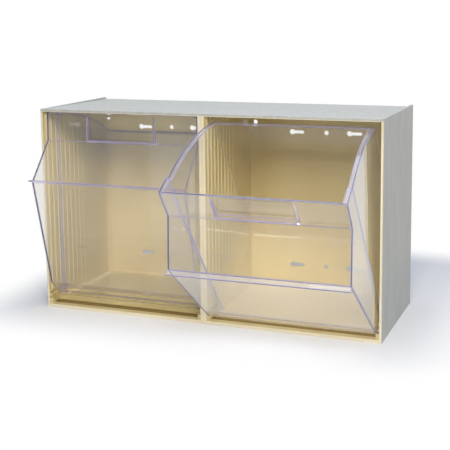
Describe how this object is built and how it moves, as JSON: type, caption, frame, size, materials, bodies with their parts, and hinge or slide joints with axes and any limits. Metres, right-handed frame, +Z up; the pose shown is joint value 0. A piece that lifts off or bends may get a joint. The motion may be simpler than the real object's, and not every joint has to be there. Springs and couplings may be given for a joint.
{
  "type": "tilt out bin cabinet",
  "caption": "Counter top cabinet of joined plastic cases with clear bins that tip forward on pivot pins, one shown open.",
  "frame": {"origin": "middle of the base, on the surface that the cabinet stands on", "axes": "+X to the right along the row of bins, +Y to the back, +Z up; the bins tip out towards -Y"},
  "size_m": [0.6, 0.4152, 0.3524],
  "materials": {
    "case_plastic": "ivory polystyrene, satin",
    "clear_plastic": "water clear styrene, polished"
  },
  "bodies": {
    "case": {"left_case": "case_plastic", "right_case": "case_plastic", "joining_rivets": "case_plastic"},
    "left_bin": {"left_bin": "clear_plastic"},
    "right_bin": {"right_bin": "clear_plastic"}
  },
  "joints": [
    {"name": "left_bin_tilt", "type": "hinge", "parent": "case", "child": "left_bin", "pos_m": [-0.15075, -0.074, 0.025], "axis": [1, 0, 0], "range_deg": [0, 38.5]},
    {"name": "right_bin_tilt", "type": "hinge", "parent": "case", "child": "right_bin", "pos_m": [0.15075, -0.074, 0.025], "axis": [1, 0, 0], "range_deg": [-38.5, 0]}
  ]
}
